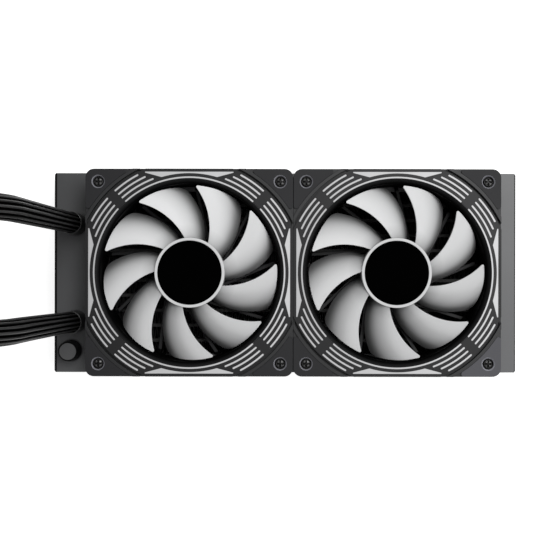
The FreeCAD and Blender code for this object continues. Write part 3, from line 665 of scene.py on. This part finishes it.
def shade_blades(material):
    """Painted shade makes the blades darker from the leading to the trailing edge, and painted light makes
    the right rotor darker than the left. The pump's impeller, in the same plastic, keeps its plain finish."""
    tree = material.node_tree
    height = object_place(tree)["Z"]
    x, y, radius = from_fan_axis(tree)
    in_pump = math_node(tree, "LESS_THAN", height, FAN_REAR)
    on_right = math_node(tree, "GREATER_THAN", object_place(tree)["X"], 0.0)
    # painted light: the right rotor's plastic is made darker than the left's
    side_light = math_node(tree, "MULTIPLY_ADD", on_right, RIGHT_ROTOR_LIGHT - LEFT_ROTOR_LIGHT, LEFT_ROTOR_LIGHT)
    light = math_node(tree, "MULTIPLY", blade_light(tree, height, radius), side_light)
    scaled(tree, math_node(tree, "MAXIMUM", light, in_pump))
    lean = ramp(tree, height, ROTOR_TOP - TRAIL_DEPTH, ROTOR_TOP - LEAD_DEPTH, TRAIL_LEAN, LEAD_LEAN)
    on_blade = math_node(tree, "GREATER_THAN", radius, HUB_R)
    on_blade = math_node(tree, "MULTIPLY", on_blade, math_node(tree, "SUBTRACT", 1.0, in_pump))
    lean_normal(tree, x, y, radius, math_node(tree, "MULTIPLY", lean, on_blade))
    return material


# Painted shade and light on the other pieces, with tones as shares of their own colours

DUCT_SHADE = 2.2 * MM     # how far in from its mouth painted shade turns the duct dark
# painted shade inside the ducts
DUCT_SHADE_TONE = 0.06
DUCT_MOUTH_SHADE_TONE = 0.6
VANES_INSIDE = 5.0 * MM   # in from the mouth, where the rear vanes are
VANE_SHADE_TONE = 0.8
CAP_EDGE_SHADE = 0.95     # share of the colour that painted shade takes away on the cap's edge and side
# painted highlight on the sleeves' lips and painted shade on their sides
COLLAR_LIP_HIGHLIGHT = 2.0
COLLAR_SIDE_SHADE = 0.4
TANK_LIGHT_ALONG = (1.25, 1.75)  # painted light, from the end by the hoses to the fans
TANK_LIGHT_ACROSS = (1.3, 0.97)  # painted light, from the side below to the side above
CAP_SHADOW_RING = 1.4 * MM       # painted black shadow ring on the tank round the fill cap
TANK_END_BAND = 1.65 * MM     # black line along the end of the tank
# share of the colour taken away by the painted shadow ring, the end band and the painted shade on slanted
# edges
SHADE_AND_BAND_DARKENING = 0.93
CHAMFER_SHADE = 0.8       # painted shade on slanted edges, as a share of the end band's black
PAD_SHEEN = 4.2           # painted sheen, added to the tone of the lighter pad
BEVEL_HIGHLIGHT = 12.0        # painted highlight, added to the tone of the bevels round the holes
GUIDE_SIDE_LIGHT = 0.1         # painted light, either way, from one side of a light guide to the other
HEAD_LIT_DEPTH = 0.2 * MM      # depths below the tops of the screws, between which painted shade blackens the heads
HEAD_SHADE_DEPTH = 0.7 * MM
HEAD_SHADE_TONE = 0.06
GROOVE_CREST = 0.3        # crest value up to which a groove keeps its full painted shade
GROOVE_SHADE_TONE = 0.15
CREST_HIGHLIGHT = 2.2          # painted highlight, added to the groove's tone at the top of a rib
CREST_SPECULAR = 0.35


def shade_duct(material):
    """Painted shade makes the duct darker and duller just inside its mouth, and less so deeper in, where the
    rear vanes are.
    """
    tree = material.node_tree
    radius = from_fan_axis(tree)[2]
    # painted shade inside the duct, lighter again where the rear vanes are
    depth = ramp(tree, radius, DUCT_MOUTH_R - DUCT_SHADE, DUCT_MOUTH_R, DUCT_SHADE_TONE, DUCT_MOUTH_SHADE_TONE)
    outside = math_node(tree, "GREATER_THAN", radius, DUCT_MOUTH_R)
    vanes = math_node(tree, "LESS_THAN", radius, DUCT_MOUTH_R - VANES_INSIDE)
    vanes = math_node(tree, "MULTIPLY", vanes, VANE_SHADE_TONE)
    dulled(tree, math_node(tree, "MAXIMUM", math_node(tree, "MAXIMUM", depth, outside), vanes))
    return material


def shade_cap(material):
    """Paint on the cap's face, and painted shade that makes its edge and side black."""
    tree = material.node_tree
    # painted shade: black beyond the face, on the cap's edge and side
    cap_edge_shade = math_node(tree, "GREATER_THAN", from_cap_axis(tree), CAP_FACE_R)
    dulled(tree, math_node(tree, "MULTIPLY_ADD", cap_edge_shade, -CAP_EDGE_SHADE, 1.0))
    return material


def shade_collar(material):
    """A painted highlight makes the sleeve's lip lighter, and painted shade makes its side black."""
    tree = material.node_tree
    # painted highlight on faces that look up, painted shade on the rest
    front = tilted(tree, *UPWARD)
    tone = math_node(tree, "MULTIPLY_ADD", front, COLLAR_LIP_HIGHLIGHT - COLLAR_SIDE_SHADE, COLLAR_SIDE_SHADE)
    scaled(tree, tone)
    return material


def shade_radiator(material):
    """Painted light makes the paint lighter toward the fans and on the side below. A black band runs along
    the end by the hoses, a painted black shadow rings the fill cap, and painted shade makes the slanted edges
    nearly black."""
    tree = material.node_tree
    place = object_place(tree)
    # painted light along and across the tanks
    along = ramp(tree, place["X"], TANK_LOW.x, TANK_HIGH.x, *TANK_LIGHT_ALONG)
    across = ramp(tree, place["Y"], TANK_LOW.y, TANK_HIGH.y, *TANK_LIGHT_ACROSS)
    scaled(tree, math_node(tree, "MULTIPLY", along, across))
    # painted shadow round the fill cap
    seat = ramp(tree, from_cap_axis(tree), CAP_R, CAP_R + CAP_SHADOW_RING, 1.0, 0.0)
    end_band = math_node(tree, "LESS_THAN", place["X"], TANK_LOW.x + TANK_END_BAND)
    black = math_node(tree, "MULTIPLY", math_node(tree, "MAXIMUM", seat, end_band), tilted(tree, *UPWARD))
    # painted shade on slanted edges
    chamfer_shade = math_node(tree, "MULTIPLY", tilted(tree, *SLANTED), CHAMFER_SHADE)
    black = math_node(tree, "MAXIMUM", black, chamfer_shade)
    dulled(tree, math_node(tree, "MULTIPLY_ADD", black, -SHADE_AND_BAND_DARKENING, 1.0))
    return material


def shade_pads(material):
    """One pad, at the right fan's lower right corner, is lighter with a painted sheen, and the bevels round
    the holes carry a painted highlight.
    """
    tree = material.node_tree
    place = object_place(tree)
    right = math_node(tree, "GREATER_THAN", place["X"], FAN_X)
    low = math_node(tree, "LESS_THAN", place["Y"], 0.0)
    # painted sheen on one pad, and painted highlight on the slanted bevels
    pad_sheen = math_node(tree, "MULTIPLY_ADD", math_node(tree, "MULTIPLY", right, low), PAD_SHEEN, 1.0)
    scaled(tree, math_node(tree, "MULTIPLY_ADD", tilted(tree, *SLANTED), BEVEL_HIGHLIGHT, pad_sheen))
    return material


def shade_guide(material):
    """Painted light makes the light guide a little lighter on the side away from the hoses."""
    tree = material.node_tree
    x, _, radius = from_fan_axis(tree)
    # painted light, lighter toward the side away from the hoses
    scaled(tree, math_node(tree, "MULTIPLY_ADD", math_node(tree, "DIVIDE", x, radius), GUIDE_SIDE_LIGHT, 1.0))
    return material


def shade_screws(material):
    """The heads keep their finish on top, and painted shade makes them black in the recess and round the
    side.
    """
    tree = material.node_tree
    height = object_place(tree)["Z"]
    # painted shade below the tops of the heads
    scaled(tree, ramp(tree, height, SCREW_TOP - HEAD_SHADE_DEPTH, SCREW_TOP - HEAD_LIT_DEPTH, HEAD_SHADE_TONE, 1.0))
    return material


def shade_ribs(material):
    """Painted shade keeps the hose's grooves dull black, and a painted highlight lightens its crests, which
    also shine more.
    """
    tree = material.node_tree
    crest = add(tree, "Attribute", {"attribute_name": "crest"}).outputs["Fac"]
    # painted highlight on the crests, painted shade in the grooves
    crest_highlight = ramp(tree, crest, GROOVE_CREST, 1.0)
    scaled(tree, math_node(tree, "MULTIPLY_ADD", crest_highlight, CREST_HIGHLIGHT, GROOVE_SHADE_TONE))
    shine = math_node(tree, "MULTIPLY", crest_highlight, CREST_SPECULAR)
    tree.links.new(shine, shader_of(tree).inputs["Specular IOR Level"])
    return material


# Each moulded finish: colour, roughness, then size and depth of the grain and radius of the edges in
# millimetres, and what differs from the usual

MOULDED = {
    "radiator_paint": ((0.058, 0.059, 0.061), 0.4, 0.5, 0.012, 0.3, {"specular": 0.6}),
    "core_paint": ((0.035, 0.035, 0.034), 0.6, 0.4, 0.01, 0.1, {}),
    "cap_paint": ((0.1, 0.101, 0.103), 0.4, 0.4, 0.012, 0.2, {}),
    "seal_rubber": ((0.012, 0.012, 0.012), 0.7, 0.5, 0.02, 0.2, {}),
    "hose_rubber": ((0.005, 0.005, 0.005), 0.42, 0.35, 0.01, 0.05, {}),
    "collar_metal": ((0.05, 0.05, 0.05), 0.35, 0.4, 0.006, 0.3, {"metallic": 0.4}),
    "frame_plastic": ((0.018, 0.0184, 0.0196), 0.5, 0.35, 0.02, 0.35, {"edge_highlight": 0.8}),
    "cover_plastic": ((0.015, 0.015, 0.016), 0.5, 0.35, 0.012, 0.2, {"edge_highlight": 0.8, "specular": 0.35}),
    "pad_rubber": ((0.018, 0.018, 0.02), 0.6, 0.6, 0.04, 0.2, {"edge_highlight": 0.8, "specular": 0.35}),
    "guide_plastic": ((0.69, 0.69, 0.7), 0.4, 1.0, 0.01, 0.1, {"patch": 0.05}),
    "rotor_plastic": ((0.84, 0.845, 0.85), 0.45, 0.4, 0.012, 0.5, {"patch": 0.03}),
    "disc_plastic": ((0.0008, 0.0008, 0.0008), 0.9, 0.4, 0.01, 0.2, {"specular": 0.0}),
    "magnet_ferrite": ((0.06, 0.06, 0.063), 0.6, 0.3, 0.02, 0.2, {}),
    "coil_copper": ((0.55, 0.2, 0.09), 0.35, 0.3, 0.06, 0.4, {"metallic": 0.8}),
    "board_green": ((0.012, 0.11, 0.045), 0.35, 0.8, 0.01, 0.1, {}),
    "board_white": ((0.62, 0.62, 0.6), 0.4, 0.8, 0.01, 0.1, {}),
    "screw_black": ((0.12, 0.12, 0.12), 0.35, 0.25, 0.006, 0.1, {"metallic": 0.6}),
    "pump_plastic": ((0.02, 0.0205, 0.022), 0.42, 0.4, 0.015, 0.4, {"edge_highlight": 0.6}),
    "elbow_metal": ((0.05, 0.05, 0.052), 0.32, 0.4, 0.006, 0.3, {"metallic": 0.9}),
}

# Each machined finish: colour, roughness, centre of its tool lines, and their spacing and depth in
# millimetres

ORIGIN = (0.0, 0.0, 0.0)
MACHINED = {
    "core_steel": ((0.42, 0.42, 0.44), 0.4, ORIGIN, 0.5, 0.01),
    "shaft_steel": ((0.6, 0.6, 0.62), 0.25, ORIGIN, 0.1, 0.004),
    "bearing_brass": ((0.72, 0.56, 0.28), 0.3, ORIGIN, 0.2, 0.006),
    "plate_copper": ((0.78, 0.42, 0.27), 0.28, PUMP_CENTRE, 0.3, 0.006),
}

# The painted light and shade laid over a finish where it differs from place to place

PAINTED_LIGHT = {
    "radiator_paint": shade_radiator,
    "cap_paint": shade_cap,
    "hose_rubber": shade_ribs,
    "collar_metal": shade_collar,
    "frame_plastic": shade_duct,
    "pad_rubber": shade_pads,
    "guide_plastic": shade_guide,
    "rotor_plastic": shade_blades,
    "screw_black": shade_screws,
}


def all_finishes():
    """The material of each slot."""
    finishes = {name: moulded(name, *numbers, **rest) for name, (*numbers, rest) in MOULDED.items()}
    finishes.update({name: machined(name, *numbers) for name, numbers in MACHINED.items()})
    for name, shade in PAINTED_LIGHT.items():
        shade(finishes[name])
    return finishes


def paint(piece, material):
    """Gives a piece its finish in all its material slots."""
    if not piece.material_slots:
        piece.data.materials.append(material)
    for place in piece.material_slots:
        place.material = material


# Stage and light

DOME_STRENGTH = 0.25
FLOOR_HALF = 4.0
FLOOR_LEVEL = -0.3 * MM   # just under the radiator's back and the cold plate
FLOOR_COLOR = (0.8, 0.8, 0.8, 1.0)
FLOOR_ROUGHNESS = 0.9
FLOOR_GLOW = 0.78
STAND_SHARE = 0.995       # of the radiator's outline, where the floor stops glowing
WHITE = (1.0, 1.0, 1.0, 1.0)
LAMPS = [
    # Name, place, size and power
    ("upper_right_softbox", (0.5, 0.42, 1.32), (1.0, 0.7), 12.4),
    ("low_right_softbox", (1.17, -0.42, 0.86), (0.8, 0.6), 3.7),
]


def beside_radiator(tree):
    """One on the open floor, zero where the radiator stands."""
    low = TANK_LOW
    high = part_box("right_tank")[1]
    place = object_place(tree)
    shares = []
    for axis, bottom, top in (("X", low.x, high.x), ("Y", low.y, high.y)):
        offset = math_node(tree, "SUBTRACT", place[axis], (bottom + top) / 2.0)
        shares.append(math_node(tree, "DIVIDE", math_node(tree, "ABSOLUTE", offset), (top - bottom) / 2.0))
    return math_node(tree, "GREATER_THAN", math_node(tree, "MAXIMUM", *shares), STAND_SHARE)


def pale_floor():
    """A pale floor that shows white to the camera and keeps a faint shadow."""
    corners = FLOOR_HALF * np.array([(-1.0, -1.0, 0.0), (1.0, -1.0, 0.0), (1.0, 1.0, 0.0), (-1.0, 1.0, 0.0)])
    corners[:, 2] = FLOOR_LEVEL
    floor = mesh_piece("floor", corners, [[0, 1, 2, 3]], smooth=False)
    material, tree, shader = new_material("pale_floor")
    shader.inputs["Base Color"].default_value = FLOOR_COLOR
    shader.inputs["Roughness"].default_value = FLOOR_ROUGHNESS
    shader.inputs["Specular IOR Level"].default_value = 0.0
    path = add(tree, "LightPath").outputs
    seen = math_node(tree, "MAXIMUM", path["Is Camera Ray"], path["Is Glossy Ray"])
    seen = math_node(tree, "MAXIMUM", seen, path["Is Transmission Ray"])
    glow = math_node(tree, "MULTIPLY", seen, math_node(tree, "MULTIPLY", beside_radiator(tree), FLOOR_GLOW))
    shader.inputs["Emission Color"].default_value = WHITE
    tree.links.new(glow, shader.inputs["Emission Strength"])
    floor.data.materials.append(material)


def studio_world():
    """White behind the object, and a dim even dome."""
    world = bpy.data.worlds.new("studio")
    world.use_nodes = True
    tree = world.node_tree
    background = next(item for item in tree.nodes if item.type == "BACKGROUND")
    seen = add(tree, "LightPath").outputs["Is Camera Ray"]
    strength = math_node(tree, "MULTIPLY_ADD", seen, 1.0 - DOME_STRENGTH, DOME_STRENGTH)
    background.inputs["Color"].default_value = WHITE
    tree.links.new(strength, background.inputs["Strength"])
    bpy.context.scene.world = world


def soft_lamp(name, place, size, power):
    """A rectangular soft lamp that faces the origin, midway between the two fans."""
    data = bpy.data.lights.new(name, "AREA")
    data.shape = "RECTANGLE"
    data.size, data.size_y = size
    data.energy = power
    lamp = bpy.data.objects.new(name, data)
    lamp.location = place
    lamp.rotation_mode = "QUATERNION"
    lamp.rotation_quaternion = lamp.location.to_track_quat("Z", "Y")
    bpy.context.scene.collection.objects.link(lamp)


photo_camera()
added = [
    (hose("upper_ribbed_hose", UPPER_ROUTE), "hose_rubber"),
    (hose("lower_ribbed_hose", LOWER_ROUTE), "hose_rubber"),
    (hose_sleeve("upper_hose_sleeve", "upper_tank_collar"), "collar_metal"),
    (hose_sleeve("lower_hose_sleeve", "lower_tank_collar"), "collar_metal"),
    (fine_fins(), "core_paint"),
    (fan_screws(), "screw_black"),
]
finishes = all_finishes()
for node, piece in NODES.items():
    paint(piece, finishes[SLOT_OF_NODE[node]])
for piece, slot in added:
    paint(piece, finishes[slot])
pale_floor()
studio_world()
for lamp_facts in LAMPS:
    soft_lamp(*lamp_facts)

bpy.context.scene.view_settings.view_transform = "Standard"
